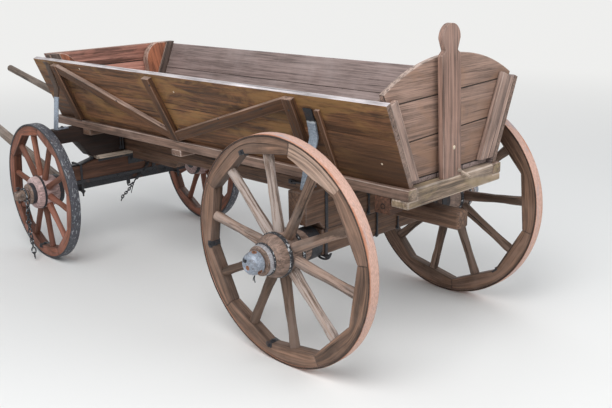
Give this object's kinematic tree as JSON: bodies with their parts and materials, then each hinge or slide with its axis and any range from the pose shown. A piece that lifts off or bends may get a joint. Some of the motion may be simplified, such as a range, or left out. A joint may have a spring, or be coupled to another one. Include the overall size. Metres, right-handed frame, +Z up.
{
  "type": "hay wagon",
  "caption": "Farm hay wagon with a flared plank box, braced sides, a lift-out arched tailgate, spoked wooden wheels, a steering front axle and hinged shafts.",
  "frame": {"origin": "on the ground below the middle of the whole wagon, shafts included", "axes": "+X towards the wagon's front and along its length, +Y to its left side, +Z up"},
  "size_m": [5.0652, 1.6688, 1.4859],
  "materials": {
    "box_wood": "weathered and oiled planks",
    "tail_wood": "weathered planks",
    "red_wood": "red-brown stained planks",
    "frame_wood": "dark weathered beams",
    "wheel_wood": "weathered brown paint",
    "wheel_paint": "red-brown paint on wood",
    "grey_pole": "bare grey pole",
    "black_iron": "black painted iron",
    "grey_iron": "worn blue-grey painted iron",
    "rusty_iron": "dusty rust"
  },
  "bodies": {
    "wagon": {"floor": "box_wood", "side_left_lower": "box_wood", "side_left_upper": "box_wood", "side_right_lower": "box_wood", "side_right_upper": "box_wood", "braces_left": "box_wood", "braces_right": "box_wood", "sill_left": "box_wood", "sill_right": "box_wood", "cross_beam_rear": "box_wood", "cross_beam_middle": "box_wood", "cross_beam_front": "box_wood", "gate_guides_left": "tail_wood", "gate_guides_right": "tail_wood", "front_board": "red_wood", "front_knee_left": "red_wood", "front_knee_right": "red_wood", "front_batten_left": "tail_wood", "front_batten_right": "tail_wood", "reach": "frame_wood", "rear_bolster": "frame_wood", "rear_axle_bed": "frame_wood", "rear_axle_arms": "black_iron", "front_bolster": "frame_wood", "king_pin": "black_iron", "rear_stakes": "grey_iron", "front_stakes": "grey_iron"},
    "front_axle": {"wear_plate": "frame_wood", "front_axle_bed": "frame_wood", "front_axle_bar": "black_iron", "front_axle_arms": "black_iron", "shaft_brackets": "black_iron"},
    "tailgate": {"tailgate_boards": "tail_wood", "tailgate_post": "tail_wood"},
    "shaft_left": {"shaft_left": "grey_pole"},
    "shaft_right": {"shaft_right": "grey_pole"},
    "wheel_rear_left": {"tyre_rear_left": "rusty_iron", "felloes_rear_left": "wheel_wood", "nave_spokes_rear_left": "wheel_wood"},
    "wheel_rear_right": {"tyre_rear_right": "rusty_iron", "felloes_rear_right": "wheel_wood", "nave_spokes_rear_right": "wheel_wood"},
    "wheel_front_left": {"tyre_front_left": "black_iron", "felloes_front_left": "wheel_paint", "nave_spokes_front_left": "wheel_paint"},
    "wheel_front_right": {"tyre_front_right": "black_iron", "felloes_front_right": "wheel_paint", "nave_spokes_front_right": "wheel_paint"}
  },
  "joints": [
    {"name": "steering", "type": "hinge", "parent": "wagon", "child": "front_axle", "pos_m": [0.09236, 0, 0.59], "axis": [0, 0, 1], "range_deg": [-28.3, 35.7]},
    {"name": "tailgate_lift", "type": "slide", "parent": "wagon", "child": "tailgate", "axis": [0, 0, 1], "range_m": [0, 0.45]},
    {"name": "shaft_left_swing", "type": "hinge", "parent": "front_axle", "child": "shaft_left", "pos_m": [0.24199, 0.42323, 0.44203], "axis": [-0.0645, -0.9979, 0], "range_deg": [-19.9, 33.6]},
    {"name": "shaft_right_swing", "type": "hinge", "parent": "front_axle", "child": "shaft_right", "pos_m": [0.18623, -0.43897, 0.44203], "axis": [-0.0645, -0.9979, 0], "range_deg": [-19.9, 33.6]},
    {"name": "wheel_rear_left_turn", "type": "hinge", "parent": "wagon", "child": "wheel_rear_left", "pos_m": [-2.00764, 0.625, 0.52563], "axis": [0, 0.9996, -0.0288], "continuous": true},
    {"name": "wheel_rear_right_turn", "type": "hinge", "parent": "wagon", "child": "wheel_rear_right", "pos_m": [-2.00764, -0.625, 0.52563], "axis": [0, -0.9996, -0.0288], "continuous": true},
    {"name": "wheel_front_left_turn", "type": "hinge", "parent": "front_axle", "child": "wheel_front_left", "pos_m": [0.13011, 0.58378, 0.41333], "axis": [0.0645, 0.9978, -0.0122], "continuous": true},
    {"name": "wheel_front_right_turn", "type": "hinge", "parent": "front_axle", "child": "wheel_front_right", "pos_m": [0.05461, -0.58378, 0.41333], "axis": [-0.0645, -0.9978, -0.0122], "continuous": true}
  ]
}
